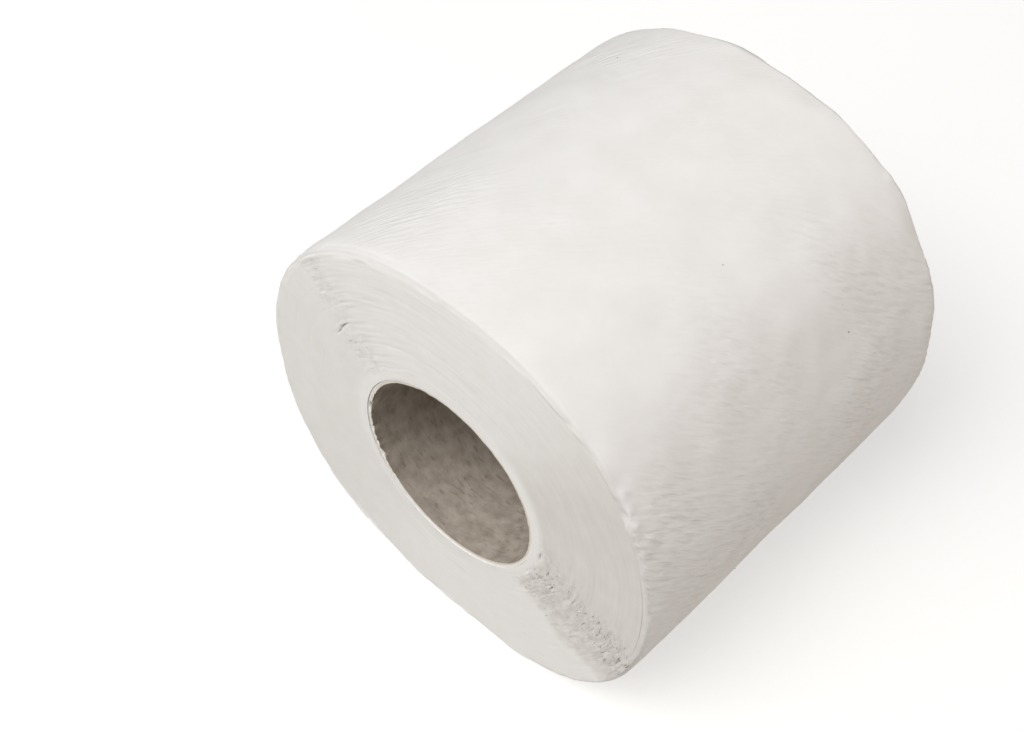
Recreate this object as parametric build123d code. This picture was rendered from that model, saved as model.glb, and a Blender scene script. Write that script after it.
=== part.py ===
from build123d import *
import math
import os

# A toilet paper roll lying on its side. Y runs along the core, Z is up, and the origin is on the
# table, under the middle of the core's axis. Angles are seen from the near end (-Y): 0 points
# along +X, 90 points up, and the paper is wound outwards as they grow. Lengths are millimetres.

# Core tube
core_bore_radius = 22.1
core_wall = 0.9

# Paper wound on it
roll_width = 92.0
roll_radius = 52.7
core_gap = 0.05
rim_ease = 1.0

# Flat spot that the roll's weight presses on the table
flat_drop = 5.0
flat_left = 9.0
flat_right = 15.0

# How far the soft paper stands out of round, by angle, from the flat spot over the top to the tail
out_of_round = {
    -60: -0.8, -46: 0.3, -25: 0.1, 0: -0.1, 28: 0.5, 45: 1.5, 62: 0.6, 88: -1.0,
    112: -0.3, 136: 0.0, 160: -0.8, 185: -1.9, 210: -1.2, 226: -1.4, 236: -2.6, 249: -3.4,
}

# The turns, which show on both ends as one spiral, coarser than the sheets themselves
spiral_turns = 5
groove_width = 0.8
groove_depth = 0.8
inner_land = 3.4
outer_land = 4.2

# End of the last sheet, where the sheet below it shows as a taut run down to the flat spot
tail_angle = 236.0
tail_step = 0.8
tail_bow = 1.2

# Outermost sheets that stand off the rest at the near end
slit_angle = 2.0
slit_reach = 24.0
slit_inset = 2.0
slit_gap = 0.7
slit_depth = 2.0

core_radius = core_bore_radius + core_wall
winding_bore_radius = core_radius + core_gap
axis_height = roll_radius - flat_drop
near_y = -roll_width / 2
far_y = roll_width / 2
along = (0, 1, 0)
near_end = Plane((0, near_y, axis_height), x_dir=(1, 0, 0), z_dir=along)


def at(radius, angle, y=near_y):
    """The point at a radius and angle round the core's axis."""
    turn = math.radians(angle)
    return Vector(radius * math.cos(turn), y, axis_height + radius * math.sin(turn))


def around(angle):
    """The direction in which a round turn runs at an angle."""
    return Vector(-math.sin(math.radians(angle)), 0, math.cos(math.radians(angle)))


def stations():
    """Each angle and radius of the outline, from the flat's right end over the top to its left."""
    right_angle = math.degrees(math.atan2(-axis_height, flat_right))
    left_angle = math.degrees(math.atan2(-axis_height, -flat_left)) + 360.0
    rounded = [(angle, roll_radius + out) for angle, out in out_of_round.items()]
    return [
        (right_angle, math.hypot(flat_right, axis_height)),
        *rounded,
        (left_angle, math.hypot(flat_left, axis_height)),
    ]


def outline_radius(angle):
    """Distance from the core's axis to the outside of the paper, between two stations."""
    for (low, low_radius), (high, high_radius) in zip(stations(), stations()[1:]):
        if low <= angle <= high:
            return low_radius + (high_radius - low_radius) * (angle - low) / (high - low)
    raise ValueError(f"no outline at {angle} degrees")


def arc_pair(start, start_way, end, end_way):
    """Two arcs that leave one point, meet each other and reach the next point without a corner."""
    chord = end - start
    lean = chord.dot(start_way + end_way)
    bend = 2.0 * (1.0 - start_way.dot(end_way)) * chord.dot(chord)
    arm = chord.dot(chord) / (lean + math.sqrt(lean**2 + bend))
    start_corner = start + start_way * arm
    end_corner = end - end_way * arm
    meeting = (start_corner + end_corner) / 2
    return [
        TangentArc(start, meeting, tangent=start_way),
        TangentArc(meeting, end, tangent=end_corner - start_corner),
    ]


def smooth_arcs(points, first_way, last_way):
    """Arcs through the points, each point crossed as a circle through its neighbours would."""
    ways = [first_way]
    for before, here, after in zip(points, points[1:], points[2:]):
        arriving = here - before
        leaving = after - here
        way = arriving / arriving.dot(arriving) + leaving / leaving.dot(leaving)
        ways.append(way.normalized())
    ways.append(last_way)
    arcs = []
    for i in range(len(points) - 1):
        arcs += arc_pair(points[i], ways[i], points[i + 1], ways[i + 1])
    return arcs


def wound_body():
    """The paper as a whole: out of round, eased at both rims, and flat where it rests."""
    points = [at(radius, angle) for angle, radius in stations()]
    sideways = Vector(1, 0, 0)
    outline = smooth_arcs(points, sideways, sideways)
    flat = Line(points[-1], points[0])
    body = extrude(make_face(Wire([*outline, flat])), roll_width, dir=along)
    by_y = body.edges().group_by(Axis.Y)
    body = chamfer(by_y[0] + by_y[-1], rim_ease)
    bore = near_end * Circle(winding_bore_radius)
    return body - extrude(bore, roll_width, dir=along)


def spiral_edge(end_y, shift):
    """One edge of the spiral groove, a shift outwards from the groove's middle."""
    marks = stations()[1::2]
    count = spiral_turns * len(marks)
    points = []
    for i in range(count + 1):
        angle, radius = marks[i % len(marks)]
        paper = radius - winding_bore_radius - inner_land - outer_land
        grown = winding_bore_radius + inner_land + paper * i / count
        points.append(at(grown + shift, angle, end_y))
    way = around(marks[0][0])
    return smooth_arcs(points, way, way)


def end_spiral(end_y, inward):
    """The groove between the turns, cut into one end from near the core to the outer land."""
    low = spiral_edge(end_y, -groove_width / 2)
    high = spiral_edge(end_y, groove_width / 2)
    ends = [Line(low[0] @ 0, high[0] @ 0), Line(low[-1] @ 1, high[-1] @ 1)]
    return extrude(make_face(Wire([*low, *high, *ends])), groove_depth, dir=(0, inward, 0))


def tail_gap():
    """What is missing between the last sheet's edge and the flat spot, past the sheet below."""
    edge_radius = outline_radius(tail_angle)
    under_edge = at(edge_radius - tail_step, tail_angle)
    over_edge = at(edge_radius + tail_step, tail_angle)
    flat_end = Vector(-flat_left, near_y, 0)
    outside = flat_end - Vector(flat_left, 0, tail_step)
    chord = flat_end - under_edge
    outwards = Vector(chord.Z, 0, -chord.X).normalized()
    sheet_below = ThreePointArc(under_edge, (under_edge + flat_end) / 2 + outwards * tail_bow, flat_end)
    rest = Polyline(flat_end, outside, over_edge, under_edge)
    return extrude(make_face(Wire([sheet_below, *rest.edges()])), roll_width, dir=along)


def loose_slit():
    """The thin crescent that opens between the outermost sheets at the near end."""
    low_angle, high_angle = slit_angle - slit_reach, slit_angle + slit_reach
    start = at(outline_radius(low_angle) - slit_inset, low_angle)
    end = at(outline_radius(high_angle) - slit_inset, high_angle)
    outer = ThreePointArc(start, at(outline_radius(slit_angle) - slit_inset, slit_angle), end)
    inner = ThreePointArc(start, at(outline_radius(slit_angle) - slit_inset - slit_gap, slit_angle), end)
    return extrude(make_face(Wire([outer, inner])), slit_depth, dir=along)


def make_core_tube():
    """The chipboard tube that the paper is wound on."""
    ring = Circle(core_radius) - Circle(core_bore_radius)
    return extrude(near_end * ring, roll_width, dir=along)


def make_paper_winding():
    """All the turns of paper, as one solid."""
    cuts = [end_spiral(near_y, 1), end_spiral(far_y, -1), tail_gap(), loose_slit()]
    winding = wound_body()
    for cut in cuts:
        winding -= cut
    return winding


os.makedirs("parts", exist_ok=True)
export_step(make_core_tube(), "parts/core_tube.step")
export_step(make_paper_winding(), "parts/paper_winding.step")
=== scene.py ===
"""Looks of a toilet paper roll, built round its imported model.

Y runs along the core from the near end to the far end, Z is up, and the origin is on the table under the
middle of the core's axis. Angles are seen from the near end: 0 points along +X, 90 points up, and the paper
is wound outwards as they grow. Sizes are millimetres and angles are degrees unless a name says otherwise.
"""
import logging
import math
from collections.abc import Callable
from dataclasses import dataclass
from enum import Enum
from functools import partial

import bmesh
import bpy
import numpy as np
from mathutils import Matrix, Vector
from mathutils.bvhtree import BVHTree


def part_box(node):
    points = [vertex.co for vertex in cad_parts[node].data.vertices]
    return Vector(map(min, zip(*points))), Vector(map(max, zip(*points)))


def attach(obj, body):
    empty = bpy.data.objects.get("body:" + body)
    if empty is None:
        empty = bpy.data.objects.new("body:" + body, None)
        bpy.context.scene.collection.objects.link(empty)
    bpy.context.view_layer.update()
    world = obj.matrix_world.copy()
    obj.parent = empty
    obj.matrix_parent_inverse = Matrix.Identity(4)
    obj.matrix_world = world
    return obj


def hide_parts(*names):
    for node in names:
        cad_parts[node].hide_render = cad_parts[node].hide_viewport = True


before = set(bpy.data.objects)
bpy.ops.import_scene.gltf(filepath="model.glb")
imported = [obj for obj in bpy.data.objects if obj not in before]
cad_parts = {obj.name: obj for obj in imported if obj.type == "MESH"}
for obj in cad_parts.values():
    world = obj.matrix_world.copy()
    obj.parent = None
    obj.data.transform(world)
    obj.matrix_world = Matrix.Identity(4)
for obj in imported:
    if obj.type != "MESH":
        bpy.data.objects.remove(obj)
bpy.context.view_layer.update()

MM = 0.001
BODY = "root"
WINDING, CORE = "paper_winding", "core_tube"
# Where the last sheet ends, and the mean radii of the side and of the turns that show on an end.
TAIL_ANGLE = 236.0
SIDE_RADIUS = 52.0
END_RADIUS = 36.0
# The length of one degree round the side, and the steps in which the outline is read for an end.
ARC_DEGREE = math.radians(1.0) * SIDE_RADIUS
OUTLINE_STEPS = 720
# How far apart doubled points may lie, and from which angle on an edge stays sharp.
DOUBLED = 0.002
FOLD = math.radians(60.0)
# How far a row of the outer sheets must turn to an end to belong to its face.
FACE_TURN = 0.8
NO_POINTS, NO_FACES = np.empty((0, 3)), np.empty((0, 4), int)
report = logging.getLogger("roll")

# What adds a node to one tree, colours with their shares, reliefs with their heights, and three numbers.
Adder = Callable[..., bpy.types.NodeSocket]
Layers = list[tuple[bpy.types.NodeSocket, str]]
Heights = list[tuple[bpy.types.NodeSocket, float]]
Triple = tuple[float, float, float]


class Slot(Enum):
    """The record's material slots."""

    TISSUE = "tissue"
    CHIPBOARD = "chipboard"


class End(Enum):
    """The two ends of the roll, by the side of Y that each faces."""

    NEAR = -1
    FAR = 1


def linear(hex_colour: str) -> tuple[float, float, float, float]:
    """Turns an sRGB hex colour to the linear colour that a shader takes.

    Args:
        hex_colour: Six hex digits after a hash.

    Returns:
        Linear red, green, blue and an alpha of 1.
    """
    shares = [int(hex_colour[i : i + 2], 16) / 255 for i in (1, 3, 5)]
    red, green, blue = (s / 12.92 if s <= 0.04045 else ((s + 0.055) / 1.055) ** 2.4 for s in shares)
    return red, green, blue, 1.0


def wire(
    tree: bpy.types.NodeTree,
    kind: str,
    sockets: dict | None = None,
    output: int | str = 0,
    **settings: object,
) -> bpy.types.NodeSocket | bpy.types.Node:
    """Adds a node with its settings and links.

    Args:
        tree: The node tree.
        kind: The node's type.
        sockets: A value, a hex colour or an output socket for each input, by name or place.
        output: The output to hand on, by name or place.
        **settings: The node's own properties.

    Returns:
        The output socket, or the node itself where it has none.
    """
    node = tree.nodes.new(kind)
    for name, value in settings.items():
        setattr(node, name, value)
    for key, value in (sockets or {}).items():
        if isinstance(value, bpy.types.NodeSocket):
            tree.links.new(value, node.inputs[key])
        elif value is not None:
            is_colour = isinstance(value, str) and value.startswith("#")
            node.inputs[key].default_value = linear(value) if is_colour else value
    return node.outputs[output] if node.outputs else node


def blurred_noise(shape: tuple[int, int], reach: tuple[float, float], seed: int) -> np.ndarray:
    """Random values that vary softly over a grid which wraps round.

    Args:
        shape: Rows and columns of the grid.
        reach: How many rows and columns a change takes.
        seed: Start of the random draw.

    Returns:
        The values, with a mean of about 0 and a spread of 1.
    """
    spectrum = np.fft.fft2(np.random.default_rng(seed).standard_normal(shape))
    rows = np.fft.fftfreq(shape[0])[:, None] * reach[0]
    columns = np.fft.fftfreq(shape[1])[None, :] * reach[1]
    field = np.fft.ifft2(spectrum * np.exp(-2 * math.pi**2 * (rows**2 + columns**2))).real
    return field / field.std()


def rippled_noise(
    shape: tuple[int, int], cell: tuple[float, float], spacing: float, run: float, lean: float, seed: int
) -> np.ndarray:
    """Broken ripples that lean across a grid which wraps round.

    Args:
        shape: Rows and columns of the grid.
        cell: Size of a cell along the rows' and the columns' way.
        spacing: Distance from one ripple to the next.
        run: Length of one ripple.
        lean: Angle from the core's axis to the ripples, turning down as they leave the near end.
        seed: Start of the random draw.

    Returns:
        The values, with a mean of about 0 and a spread of 1.
    """
    spectrum = np.fft.fft2(np.random.default_rng(seed).standard_normal(shape))
    down = np.fft.fftfreq(shape[0], cell[0])[:, None]
    round_ = np.fft.fftfreq(shape[1], cell[1])[None, :]
    turn = math.radians(lean)
    across = math.sin(turn) * down + math.cos(turn) * round_
    along = math.cos(turn) * down - math.sin(turn) * round_
    pitch = 1.0 / spacing
    keep = np.exp(-(((np.abs(across) - pitch) / (0.3 * pitch)) ** 2) - (along * run * math.pi / 2) ** 2)
    field = np.fft.ifft2(spectrum * keep).real
    return field / field.std()


def sampled(field: np.ndarray, rows: np.ndarray, columns: np.ndarray) -> np.ndarray:
    """Reads a grid that wraps round, also between its points.

    Args:
        field: The grid's values.
        rows: Rows to read, whole or not.
        columns: Columns to read, whole or not.

    Returns:
        A value for each row and column asked for.
    """
    low_row, low_column = np.floor(rows), np.floor(columns)
    down, across = rows - low_row, columns - low_column
    top, left = low_row.astype(int) % field.shape[0], low_column.astype(int) % field.shape[1]
    bottom, right = (top + 1) % field.shape[0], (left + 1) % field.shape[1]
    upper = field[top, left] * (1 - across) + field[top, right] * across
    lower = field[bottom, left] * (1 - across) + field[bottom, right] * across
    return upper * (1 - down) + lower * down


def eased(values: np.ndarray, low: float, high: float) -> np.ndarray:
    """A smooth climb from 0 at low to 1 at high, or a fall where low is the larger."""
    share = np.clip((values - low) / (high - low), 0.0, 1.0)
    return share * share * (3.0 - 2.0 * share)


def angle_gap(angles: np.ndarray, centre: float) -> np.ndarray:
    """Degrees from centre to each angle, the short way round."""
    return (angles - centre + 180.0) % 360.0 - 180.0


@dataclass(frozen=True)
class Sector:
    """A part of the way round, by the degrees from its centre at which its share is 0 and is 1."""

    centre: float
    none: float
    full: float

    def share(self, angles: np.ndarray) -> np.ndarray:
        """The share at each angle, which changes smoothly in between."""
        return eased(np.abs(angle_gap(angles, self.centre)), self.none, self.full)


def new_piece(name: str, vertices: np.ndarray, faces: np.ndarray) -> bpy.types.Object:
    """Makes a linked mesh object.

    Args:
        name: The piece's name.
        vertices: One point a row, in millimetres.
        faces: One quad of vertex numbers a row.

    Returns:
        The object, at the origin.
    """
    mesh = bpy.data.meshes.new(name)
    mesh.from_pydata((vertices * MM).tolist(), [], faces.tolist())
    piece = bpy.data.objects.new(name, mesh)
    bpy.context.scene.collection.objects.link(piece)
    return piece


def closed_piece(
    name: str, points: np.ndarray, marks: np.ndarray, finishes: tuple[bpy.types.Material, ...]
) -> bpy.types.Object:
    """Makes a mesh object from a grid that closes on itself both ways, as a tube with a wall does.

    Args:
        name: The piece's name.
        points: The grid's points by row and column, in millimetres.
        marks: The number of each row's finish.
        finishes: The materials.

    Returns:
        The object, at the origin.
    """
    number = np.arange(points[..., 0].size).reshape(points.shape[:2])
    number = np.pad(number, ((0, 1), (0, 1)), "wrap")
    faces = np.stack([number[:-1, :-1], number[:-1, 1:], number[1:, 1:], number[1:, :-1]], axis=-1)
    piece = new_piece(name, points.reshape(-1, 3), faces.reshape(-1, 4))
    for finish in finishes:
        piece.data.materials.append(finish)
    piece.data.polygons.foreach_set("material_index", np.repeat(marks, points.shape[1]).astype(np.int32))
    return piece


def close_up(piece: bpy.types.Object) -> None:
    """Merges doubled points, turns the faces outwards and shades them smooth between the sharp folds.

    Args:
        piece: A mesh object whose doubles close it.
    """
    shape = bmesh.new()
    shape.from_mesh(piece.data)
    bmesh.ops.remove_doubles(shape, verts=shape.verts, dist=DOUBLED * MM)
    bmesh.ops.dissolve_degenerate(shape, edges=shape.edges, dist=DOUBLED * MM / 10)
    bmesh.ops.recalc_face_normals(shape, faces=shape.faces)
    for face in shape.faces:
        face.smooth = True
    for edge in shape.edges:
        edge.smooth = edge.calc_face_angle(0.0) < FOLD
    shape.to_mesh(piece.data)
    shape.free()


def grow(piece: bpy.types.Object, tree: bpy.types.NodeTree, inputs: dict) -> None:
    """Runs a geometry tree on a piece and keeps the result as its plain mesh.

    Args:
        piece: The object that carries the tree's starting mesh.
        tree: The geometry tree.
        inputs: A value for each of the tree's named inputs.
    """
    modifier = piece.modifiers.new(tree.name, "NODES")
    modifier.node_group = tree
    for item in tree.interface.items_tree:
        if item.in_out == "INPUT" and item.name in inputs:
            modifier[item.identifier] = inputs[item.name]
    depsgraph = bpy.context.evaluated_depsgraph_get()
    mesh = bpy.data.meshes.new_from_object(piece.evaluated_get(depsgraph), depsgraph=depsgraph)
    piece.modifiers.clear()
    piece.data = mesh


def settle(piece: bpy.types.Object, node: str) -> None:
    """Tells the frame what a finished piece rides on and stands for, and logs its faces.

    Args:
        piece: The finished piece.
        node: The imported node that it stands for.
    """
    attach(piece, BODY)
    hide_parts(node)
    report.info("%s: %d faces", piece.name, len(piece.data.polygons))


def read_points(mesh: bpy.types.Mesh) -> np.ndarray:
    """Reads the mesh's points.

    Args:
        mesh: The mesh.

    Returns:
        The points in millimetres, one a row.
    """
    flat = np.empty(len(mesh.vertices) * 3)
    mesh.vertices.foreach_get("co", flat)
    return flat.reshape(-1, 3) / MM


def write_points(mesh: bpy.types.Mesh, points: np.ndarray) -> None:
    """Moves the mesh's points to new places in millimetres."""
    mesh.vertices.foreach_set("co", (points * MM).ravel())
    mesh.update()


def read_values(mesh: bpy.types.Mesh, name: str) -> np.ndarray:
    """Reads one number for each of the mesh's points.

    Args:
        mesh: The mesh.
        name: The attribute that keeps the numbers.

    Returns:
        The numbers.
    """
    values = np.empty(len(mesh.vertices))
    mesh.attributes[name].data.foreach_get("value", values)
    return values


def write_values(mesh: bpy.types.Mesh, named: dict[str, np.ndarray]) -> None:
    """Keeps one number for each of the mesh's points, for a material to read, under each name."""
    for name, values in named.items():
        attribute = mesh.attributes.new(name, "FLOAT", "POINT")
        attribute.data.foreach_set("value", values.astype(np.float32).ravel())


def write_places(mesh: bpy.types.Mesh, name: str, places: np.ndarray) -> None:
    """Keeps one place for each of the mesh's points, for a material to read."""
    attribute = mesh.attributes.new(name, "FLOAT_VECTOR", "POINT")
    attribute.data.foreach_set("vector", places.astype(np.float32).ravel())


@dataclass(frozen=True)
class Finish:
    """A real material with the surface that its making leaves. Each kind adds its own nodes."""

    name: str
    colour: str
    roughness: float = 0.95
    gloss: float = 0.15

    def nodes(self, add: Adder) -> tuple[Layers, Heights]:
        """Adds what is special to this finish.

        Args:
            add: Adds a node to the material's tree.

        Returns:
            Colours to lay over the ground colour, each with its share, and reliefs with their heights.
        """
        raise NotImplementedError

    def material(self) -> bpy.types.Material:
        """Builds the material.

        Returns:
            The material.
        """
        made = bpy.data.materials.new(self.name)
        made.use_nodes = True
        add = partial(wire, made.node_tree)
        layers, heights = self.nodes(add)
        colour, normal = self.colour, None
        for share, over in layers:
            colour = add("ShaderNodeMix", {0: share, 6: colour, 7: over}, 2, data_type="RGBA")
        for relief, height in heights:
            normal = add("ShaderNodeBump", {"Height": relief, "Distance": height * MM, "Normal": normal})
        shader = made.node_tree.nodes["Principled BSDF"]
        made.node_tree.links.new(colour, shader.inputs["Base Color"])
        if normal:
            made.node_tree.links.new(normal, shader.inputs["Normal"])
        shader.inputs["Roughness"].default_value = self.roughness
        shader.inputs["Specular IOR Level"].default_value = self.gloss
        return made


@dataclass(frozen=True)
class TissueSide(Finish):
    """Two-ply tissue, creped off a drying cylinder and wound under tension.

    Creping leaves fine broken ridges that lean across the sheet and show where the sheet lies slack, and the
    loose pulp makes the white cloudy. The ridges' hollows are painted with shade where the sheet lies slack,
    and the rims are painted with shade that dims their highlight. The fibres are drawn at three times their
    real width, which is as fine as shows.
    """

    name: str = "creped_tissue"
    colour: str = "#E9E6E2"
    clear_colour: str = "#F5F3F1"
    rim_shade_colour: str = "#D2CFCB"
    hollow_shade_colour: str = "#E3E0DB"
    cloud_size: float = 9.0
    ridge_size: Triple = (0.9, 5.0, 1.0)
    ridge_lean: float = 40.0
    ridge_height: float = 0.4
    fibre_size: float = 0.3
    fibre_height: float = 0.025

    def nodes(self, add: Adder) -> tuple[Layers, Heights]:
        """Reads where each point lay on the flat sheet, how slack it is and how much painted shade its rim
        takes.

        Args:
            add: Adds a node to the material's tree.

        Returns:
            The colours with their shares and the reliefs with their heights.
        """
        sheet = add("ShaderNodeAttribute", output="Vector", attribute_name="laid")
        slack = add("ShaderNodeAttribute", output="Fac", attribute_name="slack")
        torn = add("ShaderNodeAttribute", output="Fac", attribute_name="torn")
        clear = add("ShaderNodeTexNoise", {"Vector": sheet, "Scale": 1 / self.cloud_size, "Detail": 4.0})
        turn = (0, 0, -math.radians(self.ridge_lean))
        leaned = add("ShaderNodeMapping", {"Vector": sheet, "Rotation": turn})
        drawn = add("ShaderNodeMapping", {"Vector": leaned, "Scale": [1 / side for side in self.ridge_size]})
        ridges = add("ShaderNodeTexNoise", {"Vector": drawn, "Scale": 1.0, "Detail": 1.0})
        loose = add("ShaderNodeMath", {0: ridges, 1: slack}, operation="MULTIPLY")
        # Painted shade: the low parts of the ridges are drawn darker where the sheet lies slack.
        sunk = add("ShaderNodeMapRange", {0: ridges, 1: 0.5, 2: 0.3, 3: 0.0, 4: 0.5})
        hollow_shade = add("ShaderNodeMath", {0: sunk, 1: slack}, operation="MULTIPLY")
        fibres = add("ShaderNodeTexNoise", {"Vector": sheet, "Scale": 1 / self.fibre_size, "Detail": 2.0})
        # Painted shade: the rims, and the end's painted shade that reaches them, darken by the torn
        # attribute.
        layers = [(clear, self.clear_colour), (hollow_shade, self.hollow_shade_colour), (torn, self.rim_shade_colour)]
        return layers, [(loose, self.ridge_height), (fibres, self.fibre_height)]


@dataclass(frozen=True)
class TissueCut(Finish):
    """Tissue sawn square across all its turns.

    The blade presses the sheets' edges into one soft face with faint streaks along the turns. Where it
    tears them open, short gaps painted dark as shadow and pale flecks run along the turns, and the fluff is
    painted greyer as shade. Sizes with three sides are along, across and along the turns.
    """

    name: str = "sawn_tissue"
    colour: str = "#F0EDE9"
    mottle_and_shade_colour: str = "#CFC9C2"
    gap_shadow_colour: str = "#8F887F"
    fleck_colour: str = "#FAF8F6"
    cloud_size: float = 5.0
    cloud_depth: float = 0.3
    mottle_size: Triple = (2.4, 1.2, 2.4)
    mottle_depth: float = 1.2
    streak_size: Triple = (10.0, 0.55, 10.0)
    streak_height: float = 0.02
    tick_size: Triple = (1.7, 0.32, 1.7)
    tick_depth: float = 0.12
    fluff_size: float = 0.3
    fluff_height: float = 0.03

    def nodes(self, add: Adder) -> tuple[Layers, Heights]:
        """Reads each point's place on the turns, its painted shade, how frayed and how far open it is.

        Args:
            add: Adds a node to the material's tree.

        Returns:
            The colours with their shares and the reliefs with their heights.
        """
        place = add("ShaderNodeTexCoord", output="Object")
        turns = add("ShaderNodeAttribute", output="Vector", attribute_name="wound")
        torn = add("ShaderNodeAttribute", output="Fac", attribute_name="torn")
        frayed = add("ShaderNodeAttribute", output="Fac", attribute_name="frayed")
        slit = add("ShaderNodeAttribute", output="Fac", attribute_name="slit")
        clouds = {"Vector": place, "Scale": 1 / (self.cloud_size * MM), "Detail": 4.0}
        spread = {0: add("ShaderNodeTexNoise", clouds), 1: self.cloud_depth, 2: -self.cloud_depth / 2}
        patchy = add("ShaderNodeMath", spread, operation="MULTIPLY_ADD")
        # Painted shade: the torn attribute darkens the end, spread by random clouds and, where frayed, by
        # mottle.
        share = add("ShaderNodeMath", {0: torn, 1: patchy}, operation="ADD")
        drawn = add("ShaderNodeMapping", {"Vector": turns, "Scale": [1 / side for side in self.mottle_size]})
        mottle = add("ShaderNodeTexNoise", {"Vector": drawn, "Scale": 1.0, "Detail": 3.0})
        centred = add("ShaderNodeMath", {0: mottle, 1: 0.48}, operation="SUBTRACT")
        reached = add("ShaderNodeMath", {0: frayed, 1: 2.0}, operation="MULTIPLY", use_clamp=True)
        depth = add("ShaderNodeMath", {0: reached, 1: self.mottle_depth}, operation="MULTIPLY")
        mixed = {0: centred, 1: depth, 2: share}
        mottled = add("ShaderNodeMath", mixed, operation="MULTIPLY_ADD", use_clamp=True)
        short = add("ShaderNodeMapping", {"Vector": turns, "Scale": [1 / side for side in self.tick_size]})
        strands = add("ShaderNodeTexNoise", {"Vector": short, "Scale": 1.0, "Detail": 2.0})
        # Painted shadow: the ticks between torn strands and the opened slits are drawn dark.
        opened = add("ShaderNodeMath", {0: frayed, 1: 0.2, 2: strands}, operation="MULTIPLY_ADD")
        ticks = add("ShaderNodeMapRange", {0: opened, 1: 0.81, 2: 0.90, 3: 0.0, 4: 0.85})
        gap_shadows = add("ShaderNodeMath", {0: ticks, 1: slit}, operation="MAXIMUM")
        curled = add("ShaderNodeMath", {0: frayed, 1: -0.2, 2: strands}, operation="MULTIPLY_ADD")
        flecks = add("ShaderNodeMapRange", {0: curled, 1: 0.2, 2: 0.1, 3: 0.0, 4: 1.0})
        rough = add("ShaderNodeMath", {0: flecks, 1: gap_shadows}, operation="SUBTRACT")
        long = add("ShaderNodeMapping", {"Vector": turns, "Scale": [1 / side for side in self.streak_size]})
        streaks = add("ShaderNodeTexNoise", {"Vector": long, "Scale": 1.0, "Detail": 2.0})
        felt = {"Vector": place, "Scale": 1 / (self.fluff_size * MM), "Detail": 2.0}
        fluff = add("ShaderNodeTexNoise", felt)
        layers = [(mottled, self.mottle_and_shade_colour), (gap_shadows, self.gap_shadow_colour), (flecks, self.fleck_colour)]
        return layers, [(streaks, self.streak_height), (rough, self.tick_depth), (fluff, self.fluff_height)]


@dataclass(frozen=True)
class BarkSpeck(Finish):
    """A speck of bark left in the pulp and pressed flat with it: dull brown, no gloss."""

    name: str = "bark_speck"
    colour: str = "#8A8177"
    roughness: float = 0.9
    pale_colour: str = "#A39B92"
    grains_per_mm: float = 6.0

    def nodes(self, add: Adder) -> tuple[Layers, Heights]:
        """Adds the speck's own grain.

        Args:
            add: Adds a node to the material's tree.

        Returns:
            The grain's colour with its share, and no relief.
        """
        place = add("ShaderNodeTexCoord", output="Object")
        grain = {"Vector": place, "Scale": self.grains_per_mm / MM, "Detail": 1.0}
        return [(add("ShaderNodeTexNoise", grain), self.pale_colour)], []


@dataclass(frozen=True)
class Chipboard(Finish):
    """Grey-brown chipboard, pressed from mixed waste paper.

    Unsorted pulp leaves it cloudy, with short dark shreds and a few pale ones pressed flat along the strip.
    """

    name: str = "grey_chipboard"
    colour: str = "#988D81"
    roughness: float = 0.88
    gloss: float = 0.25
    clear_colour: str = "#B1A69A"
    dark_colour: str = "#6A5F53"
    pale_colour: str = "#C2B9AD"
    cloud_size: float = 3.0
    shred_size: Triple = (2.2, 0.7, 2.2)
    fibre_size: float = 0.4
    fibre_height: float = 0.04

    def nodes(self, add: Adder) -> tuple[Layers, Heights]:
        """Reads where each point lies on the tube's smooth wall.

        Args:
            add: Adds a node to the material's tree.

        Returns:
            The colours with their shares and the relief with its height.
        """
        wall = add("ShaderNodeAttribute", output="Vector", attribute_name="laid")
        cloud = add("ShaderNodeTexNoise", {"Vector": wall, "Scale": 1 / self.cloud_size, "Detail": 4.0})
        clear = add("ShaderNodeMapRange", {0: cloud, 1: 0.32, 2: 0.62, 3: 0.0, 4: 1.0})
        drawn = add("ShaderNodeMapping", {"Vector": wall, "Scale": [1 / side for side in self.shred_size]})
        strip = {"Vector": drawn, "Scale": 1.0, "Detail": 3.0, "Distortion": 0.4}
        shreds = add("ShaderNodeTexNoise", strip)
        darker = add("ShaderNodeMapRange", {0: shreds, 1: 0.42, 2: 0.28, 3: 0.0, 4: 0.5})
        paler = add("ShaderNodeMapRange", {0: shreds, 1: 0.62, 2: 0.78, 3: 0.0, 4: 0.4})
        fibres = add("ShaderNodeTexNoise", {"Vector": wall, "Scale": 1 / self.fibre_size, "Detail": 3.0})
        layers = [(clear, self.clear_colour), (darker, self.dark_colour), (paler, self.pale_colour)]
        return layers, [(fibres, self.fibre_height)]


@dataclass(frozen=True)
class ChipboardCut(Finish):
    """The tube's sawn edge: the same board with its fibres torn up, so paler and rougher.

    The fluff of the first turns of paper lies over the outer half of the edge.
    """

    name: str = "sawn_chipboard"
    colour: str = "#DFD7CB"
    gloss: float = 0.2
    fluff_colour: str = "#EFECE7"
    grain_size: float = 0.4
    grain_height: float = 0.05

    def nodes(self, add: Adder) -> tuple[Layers, Heights]:
        """Reads how far out on the edge each point lies.

        Args:
            add: Adds a node to the material's tree.

        Returns:
            The fluff with its share and the grain with its height.
        """
        place = add("ShaderNodeTexCoord", output="Object")
        grains = {"Vector": place, "Scale": 1 / (self.grain_size * MM), "Detail": 2.0}
        grain = add("ShaderNodeTexNoise", grains)
        outward = add("ShaderNodeAttribute", output="Fac", attribute_name="outward")
        frayed = add("ShaderNodeMath", {0: grain, 1: 0.4, 2: outward}, operation="MULTIPLY_ADD")
        fluff = add("ShaderNodeMapRange", {0: frayed, 1: 0.62, 2: 0.82, 3: 0.0, 4: 1.0})
        return [(fluff, self.fluff_colour)], [(grain, self.grain_height)]


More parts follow.
